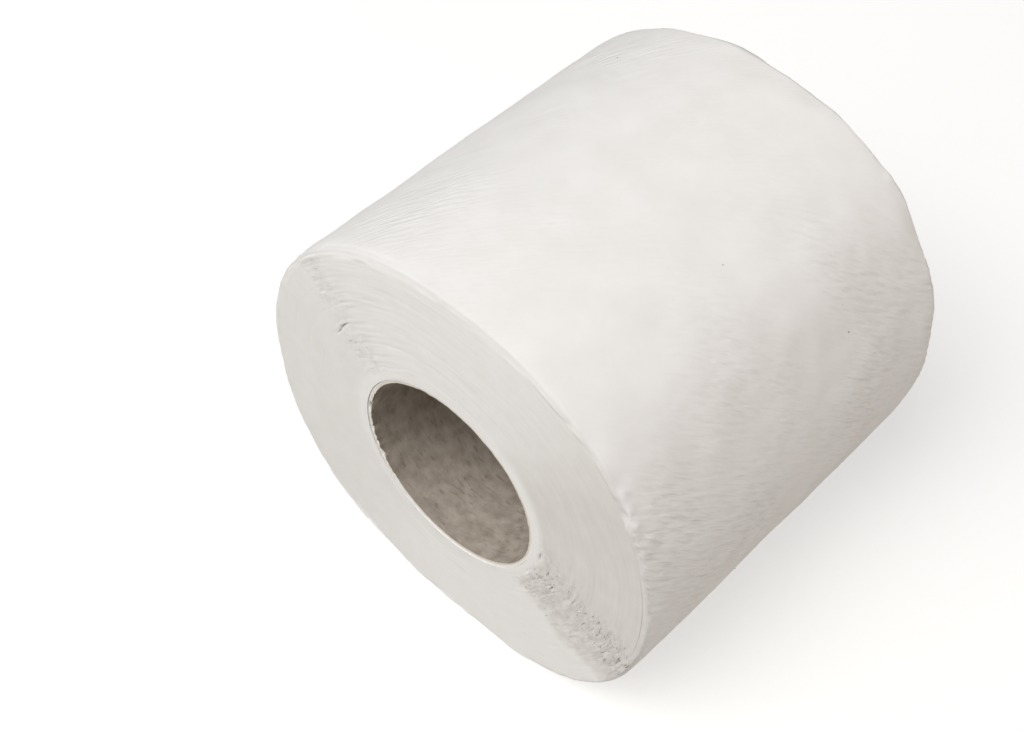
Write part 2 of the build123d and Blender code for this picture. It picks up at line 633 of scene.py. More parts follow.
class Outline:
    """The outside of the wound paper by angle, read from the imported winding."""

    def __init__(self, wrap: float = 2.0) -> None:
        """Reads the driving sizes from the frame.

        Args:
            wrap: Thickness of the outermost sheets, which the roll's side and rims belong to.
        """
        low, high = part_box(CORE)
        self.axis_height = (low[2] + high[2]) / 2 / MM
        self.core_radius = (high[0] - low[0]) / 2 / MM
        self.half_width = (high[1] - low[1]) / 2 / MM
        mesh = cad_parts[WINDING].data
        points = [vertex.co.copy() for vertex in mesh.vertices]
        self.tree = BVHTree.FromPolygons(points, [tuple(face.vertices) for face in mesh.polygons])
        self.wrap = wrap

    def angles(self, columns: int) -> np.ndarray:
        """One angle for each column and one more, from the tail round to the tail again."""
        return TAIL_ANGLE + np.arange(columns + 1) * 360.0 / columns

    def cast(self, angle: float) -> float:
        """Distance from the core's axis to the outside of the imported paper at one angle.

        Args:
            angle: The angle round the core.

        Returns:
            The distance in millimetres.
        """
        reach = 80.0
        turn = math.radians(angle)
        way = Vector((math.cos(turn), 0.0, math.sin(turn)))
        start = Vector((0.0, 0.0, self.axis_height * MM)) + way * reach * MM
        hit = self.tree.ray_cast(start, -way)
        return reach - hit[3] / MM

    def outside(self, columns: int) -> np.ndarray:
        """Distance to the outside at each column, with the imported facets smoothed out.

        Args:
            columns: Steps round the roll.

        Returns:
            Columns + 1 distances, the first on the sheet below the tail and the last on the tail.
        """
        nudge, blur, steepest = 0.02, 1.5, 0.5
        angles = self.angles(columns)
        angles[0] += nudge
        angles[-1] -= nudge
        raw = np.array([self.cast(angle) for angle in angles])
        reach = max(1, round(columns * blur / 360))
        ends = 3 * reach
        weights = np.exp(-0.5 * (np.arange(-ends, ends + 1) / reach) ** 2)
        padded = np.concatenate([2 * raw[0] - raw[ends:0:-1], raw, 2 * raw[-1] - raw[-2 : -ends - 2 : -1]])
        smooth = np.convolve(padded, weights / weights.sum(), "valid")
        depth = -np.sin(np.radians(angles))
        floor = np.where(depth > steepest, self.axis_height / np.maximum(depth, steepest), np.inf)
        return np.minimum(smooth, floor)

    def inside(self, columns: int) -> np.ndarray:
        """Distance to the inner side of the outermost sheets, which close on themselves under the tail.

        Args:
            columns: Steps round the roll.

        Returns:
            Columns + 1 distances with no step, the last the same as the first.
        """
        lap = 26
        outside = self.outside(columns)
        count = round(len(outside) * lap / 360)
        closed = outside.copy()
        closed[:count] = np.maximum(closed[:count], np.linspace(outside[-1], outside[count], count))
        closed[-1] = closed[0]
        return closed - self.wrap

    def evened(self, radius: np.ndarray, angle: np.ndarray) -> np.ndarray:
        """The radius that each point would have if the roll were round, from its place between the turns.

        Args:
            radius: The points' distances from the core's axis.
            angle: The points' angles.

        Returns:
            The radii in a round roll.
        """
        inside, core = self.inside(OUTLINE_STEPS), self.core_radius
        steps = np.arange(OUTLINE_STEPS + 1) * 360.0 / OUTLINE_STEPS
        around = np.interp((angle - TAIL_ANGLE) % 360.0, steps, inside)
        return core + (radius - core) * (inside.mean() - core) / (around - core)

    def rested(self, columns: int) -> np.ndarray:
        """How much each column lies on the flat spot.

        Args:
            columns: Steps round the roll.

        Returns:
            Columns + 1 shares, from 0 to 1.
        """
        free, resting = 1.2, 0.1
        height = self.axis_height + self.outside(columns) * np.sin(np.radians(self.angles(columns)))
        return eased(height, free, resting)

    def wound(self, x: np.ndarray, z: np.ndarray) -> np.ndarray:
        """Where points of an end lie along and across the turns, on one round turn of the mean size.

        Args:
            x: Places across, about the core's axis.
            z: Places up, about the core's axis.

        Returns:
            The place across the round turn, the radius in an even roll, and the place up the round turn.
        """
        turn = np.arctan2(z, x)
        even = self.evened(np.hypot(x, z), np.degrees(turn))
        return np.stack([END_RADIUS * np.cos(turn), even, END_RADIUS * np.sin(turn)], axis=-1)


@dataclass(frozen=True)
class Crease:
    """A faint line pressed in the outer sheet, through corners given by angle and place along the roll."""

    corners: tuple[tuple[float, float], ...]
    height: float
    width: float

    def lift(self, angles: np.ndarray, places: np.ndarray) -> np.ndarray:
        """How far the crease moves each point of the side.

        Args:
            angles: The points' angles.
            places: The points' places along the roll.

        Returns:
            Millimetres outwards: a ridge with a shallower furrow beside it.
        """
        nearest = np.full(angles.shape, np.inf)
        side = np.zeros(angles.shape)
        for (low, start), (high, stop) in zip(self.corners, self.corners[1:]):
            run = np.array([(high - low) * ARC_DEGREE, stop - start])
            length = float(np.hypot(*run))
            run = run / length
            x, y = angle_gap(angles, low) * ARC_DEGREE, places - start
            along = np.clip(x * run[0] + y * run[1], 0.0, length)
            away = np.hypot(x - along * run[0], y - along * run[1])
            closer = away < nearest
            nearest = np.where(closer, away, nearest)
            side = np.where(closer, np.sign(y * run[0] - x * run[1]), side)
        furrow_depth, furrow_place = 0.7, 1.6
        off = nearest * side / self.width
        return self.height * (np.exp(-(off**2)) - furrow_depth * np.exp(-((off + furrow_place) ** 2)))


@dataclass(frozen=True)
class Nub:
    """A small bump or dent in the outer sheet, by angle and place along the roll."""

    angle: float
    place: float
    height: float
    width: float

    def lift(self, angles: np.ndarray, places: np.ndarray) -> np.ndarray:
        """Millimetres outwards at each point of the side."""
        around = angle_gap(angles, self.angle) * ARC_DEGREE
        return self.height * np.exp(-(around**2 + (places - self.place) ** 2) / self.width**2)


CREASES = (
    Crease(((46.0, -40.0), (43.0, -28.0), (45.5, -12.0), (46.5, -4.0), (50.0, 1.0)), 0.035, 0.8),
    Crease(((101.0, -27.0), (112.4, -25.7), (123.5, -24.4)), 0.035, 0.8),
    Crease(((107.8, 27.2), (110.4, 23.6), (116.0, 24.5)), 0.05, 0.9),
    Crease(((101.4, 11.2), (107.8, 11.4)), 0.04, 0.8),
    Crease(((110.0, 9.0), (113.6, 12.2), (118.7, 6.4)), 0.05, 0.9),
    Crease(((119.0, -8.0), (127.0, -13.0), (131.0, -10.0)), 0.05, 1.0),
    Crease(((24.0, -8.8), (16.8, -10.8), (14.5, -10.9)), 0.05, 0.5),
    Crease(((183.0, -22.0), (171.0, -18.0), (166.0, -2.0)), 0.05, 1.0),
    Crease(((205.0, 12.0), (199.0, 24.0), (203.0, 33.0)), 0.05, 0.9),
    Crease(((310.0, -6.0), (317.0, 4.0), (316.0, 19.0)), 0.05, 0.9),
)
NUBS = (
    Nub(36.9, -44.6, 0.32, 1.3),
    Nub(33.6, -44.4, 0.34, 1.2),
    Nub(29.6, -44.6, 0.30, 1.1),
    Nub(31.6, -40.1, 0.20, 1.3),
    Nub(26.0, -44.2, -0.18, 1.3),
    Nub(39.5, -43.5, -0.12, 1.6),
    Nub(139.4, -45.5, 0.45, 0.9),
    Nub(143.0, -45.0, -0.25, 1.5),
    Nub(50.0, 45.2, 0.35, 1.6),
    Nub(74.0, 45.0, -0.35, 3.0),
    Nub(98.0, 45.0, 0.30, 2.4),
)


@dataclass(frozen=True)
class SawArc:
    """The path of the log saw's edge over an end, past which the sheets' edges are torn open.

    The smooth side of the arc is below and left of it as the end is looked at.
    """

    centre: tuple[float, float] = (118.7, 148.1)
    radius: float = 196.2
    width: float = 22.0

    def past(self, x: np.ndarray, z: np.ndarray) -> np.ndarray:
        """Millimetres past the arc, towards its centre, at points about the core's axis."""
        return self.radius - np.hypot(x - self.centre[0], z - self.centre[1])


@dataclass(frozen=True)
class Slit:
    """A thin gap that has opened between two turns on an end."""

    radius: float
    angle: float
    length: float
    depth: float
    slant: float = 0.0
    width: float = 0.17

    def drop(self, radius: np.ndarray, angle: np.ndarray) -> np.ndarray:
        """How deep the gap is at each point of the end.

        Args:
            radius: The points' distances from the core's axis.
            angle: The points' angles.

        Returns:
            Millimetres inwards.
        """
        off = angle_gap(angle, self.angle) * math.radians(1.0) * self.radius
        middle = self.radius + self.slant * off + 0.1 * np.sin(off * 1.3 + self.angle)
        ends = np.clip(1.0 - (2.0 * off / self.length) ** 2, 0.0, 1.0)
        return self.depth * ends * np.exp(-(((radius - middle) / self.width) ** 2))


@dataclass(frozen=True)
class Sawn:
    """What the saw left at each point of an end: its lift outwards, and shares that the material reads."""

    lift: np.ndarray
    torn: np.ndarray
    # torn holds the painted shade that greys the end, not a share of tearing.
    frayed: np.ndarray
    slit: np.ndarray


@dataclass(frozen=True)
class SawnFace:
    """One sawn end of the roll: streaks along the turns, and the fringe that the saw tore open.

    The sectors are the parts of the end where the torn band is wide, where the fluff is painted with shade,
    where the end is drawn darker all over, and where the rim has sunk.
    """

    outline: Outline
    end: End
    arc: SawArc
    slits: tuple[Slit, ...]
    seed: int
    wide: Sector = Sector(-45.0, 90.0, 50.0)
    shaded: Sector = Sector(-8.0, 76.0, 35.0)
    grey: Sector = Sector(190.0, 80.0, 30.0)
    sunk: Sector = Sector(80.0, 70.0, 30.0)
    wander: float = 0.8
    streak_height: float = 0.015
    line_depth: float = 0.07
    pit_depth: float = 0.16
    tuft_height: float = 0.05
    torn_depth: float = 0.05
    swell_size: float = 2.0
    swell_height: float = 0.12
    ring_height: float = 0.03
    ring_width: float = 2.3
    rim_fall: float = 0.13
    fall_width: float = 3.2
    spiral_turns: int = 5
    spiral_depth: float = 0.03
    spiral_sharpness: float = 14.0

    def strands(
        self, even: np.ndarray, angle: np.ndarray, across: float, along: float, seed: int
    ) -> np.ndarray:
        """Noise that runs along the turns.

        Args:
            even: The points' radii in an even roll.
            angle: The points' angles.
            across: How far a change takes from turn to turn.
            along: How far a change takes along a turn.
            seed: Start of the random draw.

        Returns:
            Values with a mean of about 0 and a spread of 1.
        """
        ring, step = 0.14, 0.36
        reach = (across / ring, along / (math.radians(step) * END_RADIUS))
        field = blurred_noise((256, 1000), reach, self.seed + seed)
        return sampled(field, even / ring, angle % 360.0 / step)

    def torn_band(self, reached: np.ndarray, radius: np.ndarray, wide: np.ndarray) -> np.ndarray:
        """How torn the end is, from 0 to 1.

        Args:
            reached: Millimetres past the saw's uneven edge.
            radius: The points' distances from the core's axis.
            wide: How much each point belongs to the band's wide part.

        Returns:
            The share at each point.
        """
        core = self.outline.core_radius
        band = 0.5 * eased(reached, 0.5, 3.5) + 0.5 * wide * eased(reached, 5.0, 11.0)
        width = self.arc.width * (0.5 + 0.5 * wide)
        return band * eased(reached / width, 1.12, 0.8) * eased(radius, core + 0.8, core + 3.0)

    def relief(self, x: np.ndarray, z: np.ndarray) -> Sawn:
        """What the saw and the winding did to the end.

        Args:
            x: Places across, about the core's axis.
            z: Places up, about the core's axis.

        Returns:
            The lift in millimetres, the painted shade, and how frayed and how far open each point is.
        """
        x = -x if self.end is End.FAR else x
        radius, angle = np.hypot(x, z), np.degrees(np.arctan2(z, x))
        even = self.outline.evened(radius, -angle + 180.0 if self.end is End.FAR else angle)
        core = self.outline.core_radius
        inside = self.outline.outside(OUTLINE_STEPS).mean() - self.outline.wrap
        ring_edge = core + self.ring_width
        strands = partial(self.strands, even, angle)
        wide = self.wide.share(angle)
        past = self.arc.past(x, z)
        reached = past + self.wander * strands(3.0, 5.0, 1)
        fuzz = eased(reached, 0.5, 7.0)
        beside = 0.35 * wide * eased(past, 60.0, 30.0) + 0.65 * eased(past, 34.0, 10.0)
        beside = eased(past, 0.0, 4.0) * beside
        patches = np.clip(0.95 + 0.24 * strands(1.6, 2.4, 2), 0.0, 1.25)
        torn = self.torn_band(reached, radius, wide) * patches
        # Streaks and lines run along the turns everywhere, and pits and tufts lie in the torn band.
        out = self.streak_height * (0.35 + 0.65 * beside) * strands(0.22, 2.2, 3)
        out -= self.line_depth * np.clip(strands(0.16, 2.0, 4) - 1.2, 0.0, 1.4) * (0.15 + 0.85 * beside)
        pits = np.clip(strands(0.2, 0.7, 5) - 1.1, 0.0, 1.0)
        tufts = np.clip(strands(0.2, 0.8, 6) - 0.9, 0.0, 1.4)
        out += torn * (self.tuft_height * tufts - self.pit_depth * pits - self.torn_depth)
        # The spiral of the turns shows as a soft groove, and the rim sinks where the sheets are pressed.
        lap = (even - core) / (inside - core) * (self.spiral_turns + 1) - angle % 360.0 / 360.0
        groove = self.spiral_depth * np.exp(-(((lap % 1.0 - 0.5) * self.spiral_sharpness) ** 2))
        out -= groove * eased(even, inside, inside - 1.5)
        fallen = np.clip((even - inside - 1.0) / self.fall_width + 1.0, 0.0, 1.0) ** 2
        out -= self.rim_fall * fallen * self.sunk.share(angle)
        drop = np.zeros_like(out)
        for slit in self.slits:
            drop = np.maximum(drop, slit.drop(radius, angle))
        out = (out - drop) * eased(radius, core + 0.05, core + 0.6)
        # The first turns stand proud of the core as a smooth ring, and the whole end swells a little.
        out += self.ring_height * eased(radius, ring_edge + 2.0, ring_edge - 1.2)
        swell = blurred_noise((64, 64), (6.0, 6.0), self.seed + 7)
        swell = sampled(swell, x / self.swell_size, z / self.swell_size)
        out += self.swell_height * swell * eased(radius, core, core + 4.0)
        # Painted shade: the fuzz, the torn band and the right-hand sector are drawn greyer as if shadowed,
        # with streaks along the turns, and the left-hand sector is drawn darker.
        grey = 0.05 * torn + 0.06 * fuzz + 0.5 * fuzz * self.shaded.share(angle)
        grey += 0.2 * self.grey.share(angle)
        grey += 0.06 * fuzz * (0.4 + 0.6 * beside) * strands(0.26, 2.2, 8)
        grey = np.clip(eased(radius, ring_edge - 1.0, ring_edge + 1.5) * grey, 0.0, 1.0)
        return Sawn(out, grey, np.clip(torn, 0.0, 1.0), np.clip(2.2 * drop - 0.15, 0.0, 1.0))


@dataclass
class OuterSheets:
    """The outermost sheets, as one wrap of the roll that ends in the free edge of the last sheet.

    The sheets lie slack away from the taut top, and most so at the right. The other sectors are the parts of
    the side where the near rim is short, where the rims are painted with shade, and where the near rim is
    knocked.
    """

    outline: Outline
    faces: tuple[SawnFace, ...]
    off_top: Sector = Sector(82.0, 16.0, 42.0)
    right: Sector = Sector(40.0, 100.0, 55.0)
    short: Sector = Sector(119.0, 17.0, 12.0)
    rim_shade: Sector = Sector(105.0, 95.0, 25.0)
    knocked: Sector = Sector(32.0, 26.0, 8.0)
    columns: int = 600
    rim_radius: float = 1.1
    rim_rows: int = 6
    rim_grey: float = 0.66
    face_rows: int = 6
    rim_side_rows: int = 10
    rim_side_step: float = 0.3
    side_rows: int = 126
    tuck: float = 6.0
    ripple_spacing: float = 1.75
    ripple_run: float = 7.0
    ripple_lean: float = 40.0
    ripple_height: float = 0.06
    cockle_size: float = 9.0
    cockle_height: float = 0.14
    cell: float = 0.5
    rim_roughness: float = 0.2
    rim_droop: float = 0.22
    short_place: float = -43.2
    short_drop: float = 0.09
    far_wave: float = 0.3
    tail_columns: int = 9
    lifted_columns: int = 7
    tail_lift: float = 0.25
    tail_wave: float = 0.3
    wave_start: float = -50.0
    wave_cell: float = 0.4
    nib_spacing: float = 4.2
    nib_width: float = 1.4
    nib_length: float = 0.35
    seed: int = 41

    def profile(self) -> tuple[np.ndarray, np.ndarray, np.ndarray]:
        """The wrap's section: down into the near end, over the side, and back inside from the far end.

        Returns:
            Each row's inset from the outside, its place along the roll and how far the outside turns to it,
            from -1 on the near face over 0 on the side to 1 on the far face.
        """
        half, wrap, rim = self.outline.half_width, self.outline.wrap, self.rim_radius
        insets = [wrap, *np.linspace(wrap, rim, self.face_rows)[:-1]]
        places = [-half + self.tuck, *[-half] * (self.face_rows - 1)]
        turns = [-1.0] * self.face_rows
        for step in range(self.rim_rows + 1):
            turn = math.pi / 2 * step / self.rim_rows
            insets.append(rim * (1 - math.sin(turn)))
            places.append(-half + rim * (1 - math.cos(turn)))
            turns.append(-math.cos(turn))
        start, dense = -half + rim, -half + rim + self.rim_side_step * self.rim_side_rows
        side = np.concatenate([
            np.linspace(start, dense, self.rim_side_rows + 1)[1:-1],
            np.linspace(dense, half - rim, self.side_rows + 1)[:-1],
        ])
        flat = [0.0] * len(side)
        insets = np.array([*insets, *flat, *insets[::-1]])
        places = np.array([*places, *side, *[-place for place in places[::-1]]])
        turns = np.array([*turns, *flat, *[-turn for turn in turns[::-1]]])
        return insets, places, turns

    def relief(self, angles: np.ndarray, places: np.ndarray) -> tuple[np.ndarray, np.ndarray]:
        """How far the sheet stands off its outline over the side.

        Args:
            angles: The points' angles.
            places: The points' places along the roll.

        Returns:
            Millimetres outwards, and how slack the sheet lies, from 0 to 1.
        """
        half, seed = self.outline.half_width, self.seed
        grid = (round(2 * half / self.cell), self.columns)
        cell = (self.cell, 2 * math.pi * SIDE_RADIUS / self.columns)
        rows = (places + half) / self.cell
        columns = (angles - TAIL_ANGLE) / 360.0 * self.columns
        reach = (self.cockle_size / 4 / cell[0], self.cockle_size / 4 / cell[1])
        ripples = rippled_noise(grid, cell, self.ripple_spacing, self.ripple_run, self.ripple_lean, seed)
        cockles = blurred_noise(grid, reach, seed + 1)
        swells = blurred_noise(grid, (3.2 * reach[0], 3.2 * reach[1]), seed + 2)
        patches = np.clip(0.65 + 0.4 * blurred_noise(grid, (10.0, 14.0), seed + 3), 0.15, 1.25)
        slack = 0.18 + 0.82 * self.off_top.share(angles)
        slack *= 0.5 + 0.5 * self.right.share(angles)
        lift = slack * self.ripple_height * sampled(ripples * patches, rows, columns)
        lift += (0.45 + 0.55 * slack) * self.cockle_height * 0.4 * sampled(cockles, rows, columns)
        lift += self.cockle_height * 0.6 * sampled(swells, rows, columns)
        for mark in (*CREASES, *NUBS):
            lift += mark.lift(angles, places)
        # Both rims droop unevenly, and the near rim is short where a sheet is set back.
        curl = sampled(blurred_noise((1, self.columns), (0.0, 8.0), seed + 8), 0.0 * rows, columns)
        at_rim = eased(np.abs(places), half - 6.0, half - 0.5)
        lift -= self.rim_droop * np.clip(0.6 + 0.6 * curl, 0.0, 2.0) * at_rim**2
        set_back = eased(places, self.short_place, self.short_place - 1.0)
        lift -= self.short_drop * self.short.share(angles) * set_back
        return lift, slack * sampled(patches, rows, columns)

    def tail_run(self, places: np.ndarray) -> np.ndarray:
        """How far the last sheet's torn edge runs past the tail's angle, with its perforation's nibs.

        Args:
            places: Places along the roll.

        Returns:
            Millimetres along the winding's way.
        """
        from_end = places - self.wave_start
        spread = blurred_noise((1, 256), (0.0, 9.0), self.seed + 7)
        wave = self.tail_wave * sampled(spread, np.zeros_like(places), from_end / self.wave_cell)
        between = np.abs(from_end % self.nib_spacing - self.nib_spacing / 2)
        return wave + self.nib_length * (between > (self.nib_spacing - self.nib_width) / 2)

    def rims(self) -> np.ndarray:
        """How far each column of the two rims stands out along the roll.

        Returns:
            Millimetres along the roll, the near rim's row and the far one's, with the first column again.
        """
        ragged = blurred_noise((2, self.columns), (0.0, 1.6), self.seed + 5)
        frill = blurred_noise((2, self.columns), (0.0, 7.0), self.seed + 6)
        rims = self.rim_roughness * (0.5 * ragged + 0.8 * frill)
        rims[1] += self.far_wave * frill[1]
        rims = np.pad(rims, ((0, 0), (0, 1)), "wrap")
        rims[0] *= 0.6 + 1.4 * self.knocked.share(self.outline.angles(self.columns))
        return rims

    def build(self, finishes: tuple[bpy.types.Material, bpy.types.Material]) -> bpy.types.Object:
        """Builds and dresses the wrap.

        Args:
            finishes: The side's material and that of the sawn ends.

        Returns:
            The finished piece.
        """
        line, count = self.outline, self.columns + 1
        insets, places, turns = self.profile()
        column = np.arange(count)
        at_tail = eased(column, self.columns - self.tail_columns, self.columns)
        at_tail = at_tail + eased(column, self.tail_columns, 0)
        run = self.tail_run(places)[:, None] * at_tail
        angles = line.angles(self.columns) + np.degrees(run / SIDE_RADIUS)
        down = np.repeat(places[:, None], count, axis=1)
        lift, slack = self.relief(angles, down)
        lifted = eased(column, self.columns - self.lifted_columns, self.columns)
        lift += self.tail_lift * lifted * (1.0 + np.sin(down * 0.4))
        lift *= (1.0 - line.rested(self.columns)) * np.sqrt(np.clip(1.0 - turns**2, 0.0, 1.0))[:, None]
        share = (insets / line.wrap)[:, None]
        radius = line.outside(self.columns) * (1 - share) + line.inside(self.columns) * share + lift
        x, z = radius * np.cos(np.radians(angles)), radius * np.sin(np.radians(angles))
        y = down.copy()
        shares = {name: np.zeros_like(y) for name in ("torn", "frayed", "slit")}
        # Painted shade: the rims take a grey that dims their highlight, most at the top and the upper left.
        rim_shade, rims = self.rim_grey * self.rim_shade.share(angles), self.rims()
        for face in self.faces:
            facing = face.end.value
            rows = turns * facing > 0
            turned = np.abs(turns[rows])[:, None]
            sawn = face.relief(x[rows], z[rows])
            edge = eased(insets[rows], line.wrap, self.rim_radius)[:, None] * turned
            buried = (np.abs(places[rows]) < line.half_width - self.tuck / 2)[:, None]
            rim = rims[int(face.end is End.FAR)]
            y[rows] += np.where(buried, 0.0, facing * turned * sawn.lift + rim * edge)
            rounded = np.where(buried, 0.0, np.sin(math.pi * turned**1.8))
            # The torn attribute carries painted shade: the end's painted shade and the rim's painted shade.
            shares["torn"][rows] = np.clip(sawn.torn * turned + rim_shade[rows] * rounded, 0.0, 1.0)
            shares["frayed"][rows] = np.where(turned > FACE_TURN, sawn.frayed, 0.0)
            shares["slit"][rows] = np.where(turned > FACE_TURN, sawn.slit, 0.0)
        points = np.stack([x, y, np.maximum(line.axis_height + z, 0.0)], axis=-1)
        on_face = np.abs(turns) > FACE_TURN
        piece = closed_piece("outer_sheets", points, on_face & np.roll(on_face, -1), finishes)
        along = np.radians(angles - TAIL_ANGLE) * SIDE_RADIUS
        deep = np.repeat(insets[:, None], count, axis=1)
        write_places(piece.data, "laid", np.stack([along, down + np.sign(down) * deep, deep], axis=-1))
        write_places(piece.data, "wound", line.wound(x, z))
        write_values(piece.data, {**shares, "slack": slack})
        close_up(piece)
        return piece


def started_tree(name: str, inputs: dict[str, str]) -> tuple[bpy.types.NodeTree, bpy.types.NodeOutputs]:
    """Starts a geometry tree with its named inputs.

    Args:
        name: The tree's name.
        inputs: The kind of each input after the geometry, by its name.

    Returns:
        The tree, and the output that hands on each input.
    """
    tree = bpy.data.node_groups.new(name, "GeometryNodeTree")
    for label, kind in {"Geometry": "Geometry", **inputs}.items():
        tree.interface.new_socket(label, in_out="INPUT", socket_type=f"NodeSocket{kind}")
    tree.interface.new_socket("Geometry", in_out="OUTPUT", socket_type="NodeSocketGeometry")
    return tree, tree.nodes.new("NodeGroupInput").outputs


def finish_tree(add: Adder, geometry: bpy.types.NodeSocket, finish: bpy.types.NodeSocket) -> None:
    """Ends a geometry tree: makes its geometry real, gives it its material and hands it on.

    Args:
        add: Adds a node to the tree.
        geometry: What the tree has made.
        finish: The material's input.
    """
    real = add("GeometryNodeRealizeInstances", {"Geometry": geometry})
    dressed = add("GeometryNodeSetMaterial", {"Geometry": real, "Material": finish})
    add("NodeGroupOutput", {"Geometry": dressed})


def turns_tree() -> bpy.types.NodeTree:
    """Builds the geometry tree that winds one end's turns inside an outline.

    Each row of the grid follows a turn, so it comes back a whole turn further out than it left. Two rows
    past the outermost turn go down the outside and over the back, and the last one closes the inside.

    Returns:
        The tree. Its geometry input is a ring of points, one for each step round.
    """
    counts = dict.fromkeys(("Steps round", "Rows", "Rows per turn"), "Int")
    lengths = dict.fromkeys(("Core radius", "Axis height", "Face", "Back"), "Float")
    tree, given = started_tree("wound_turns", {**counts, **lengths, "Finish": "Material"})
    add = partial(wire, tree)
    steps, per_turn = given["Steps round"], given["Rows per turn"]
    core, height = given["Core radius"], given["Axis height"]

    across = add("ShaderNodeMath", {0: steps, 1: 1.0}, operation="ADD")
    wound_rows = add("ShaderNodeMath", {0: given["Rows"], 1: per_turn}, operation="ADD")
    front = add("ShaderNodeMath", {0: wound_rows, 1: per_turn}, operation="ADD")
    last = add("ShaderNodeMath", {0: front, 1: 3.0}, operation="ADD")
    down = add("ShaderNodeMath", {0: last, 1: 1.0}, operation="ADD")
    grid = add("GeometryNodeMeshGrid", {"Vertices X": down, "Vertices Y": across}).node
    spot = add("ShaderNodeSeparateXYZ", {0: grid.outputs["UV Map"]}).node
    row = add("ShaderNodeMath", {0: spot.outputs[0], 1: last}, operation="MULTIPLY")
    lap = spot.outputs[1]
    column = add("ShaderNodeMath", {0: lap, 1: steps, 2: 0.5}, operation="MULTIPLY_ADD")

    # How far out each row has grown, and how far past the outermost turn it is.
    lag = add("ShaderNodeMath", {0: lap, 1: 1.0}, operation="SUBTRACT")
    wound = add("ShaderNodeMath", {0: lag, 1: per_turn, 2: row}, operation="MULTIPLY_ADD")
    grown = add("ShaderNodeMapRange", {0: wound, 1: 0.0, 2: wound_rows, 3: 0.0, 4: 1.0})
    past = add("ShaderNodeMath", {0: row, 1: front}, operation="SUBTRACT")
    turned_in = add("ShaderNodeMapRange", {0: past, 1: 1.0, 2: 2.0, 3: 1.0, 4: 0.0})
    share = add("ShaderNodeMath", {0: grown, 1: turned_in}, operation="MULTIPLY")
    gone_back = add("ShaderNodeMapRange", {0: past, 1: 0.0, 2: 1.0, 3: 0.0, 4: 1.0})
    come_back = add("ShaderNodeMapRange", {0: past, 1: 2.0, 2: 3.0, 3: 1.0, 4: 0.0})
    on_back = add("ShaderNodeMath", {0: gone_back, 1: come_back}, operation="MULTIPLY")

    # The row's share of the way from the core to the ring, in the ring point's own direction.
    ring = {"Geometry": given["Geometry"], "Value": add("GeometryNodeInputPosition"), "Index": column}
    ring_point = add("GeometryNodeSampleIndex", ring, data_type="FLOAT_VECTOR")
    axis = add("ShaderNodeCombineXYZ", {2: height})
    arm = add("ShaderNodeVectorMath", {0: ring_point, 1: axis}, operation="SUBTRACT")
    way = add("ShaderNodeVectorMath", {0: arm}, operation="NORMALIZE")
    reach = add("ShaderNodeVectorMath", {0: arm}, "Value", operation="LENGTH")
    paper = add("ShaderNodeMath", {0: reach, 1: core}, operation="SUBTRACT")
    distance = add("ShaderNodeMath", {0: paper, 1: share, 2: core}, operation="MULTIPLY_ADD")
    reached = add("ShaderNodeVectorMath", {0: way, "Scale": distance}, operation="SCALE")
    inset = add("ShaderNodeMapRange", {0: on_back, 1: 0.0, 2: 1.0, 3: given["Face"], 4: given["Back"]})
    middle = add("ShaderNodeCombineXYZ", {1: inset, 2: height})
    placed = add("ShaderNodeVectorMath", {0: reached, 1: middle}, operation="ADD")
    laid = add("GeometryNodeSetPosition", {"Geometry": grid.outputs["Mesh"], "Position": placed})
    marks = {"Geometry": laid, "Name": "on_back", "Value": on_back}
    kept = add("GeometryNodeStoreNamedAttribute", marks, domain="POINT")
    merged = add("GeometryNodeMergeByDistance", {"Geometry": kept, "Distance": DOUBLED * MM})
    finish_tree(add, merged, given["Finish"])
    return tree


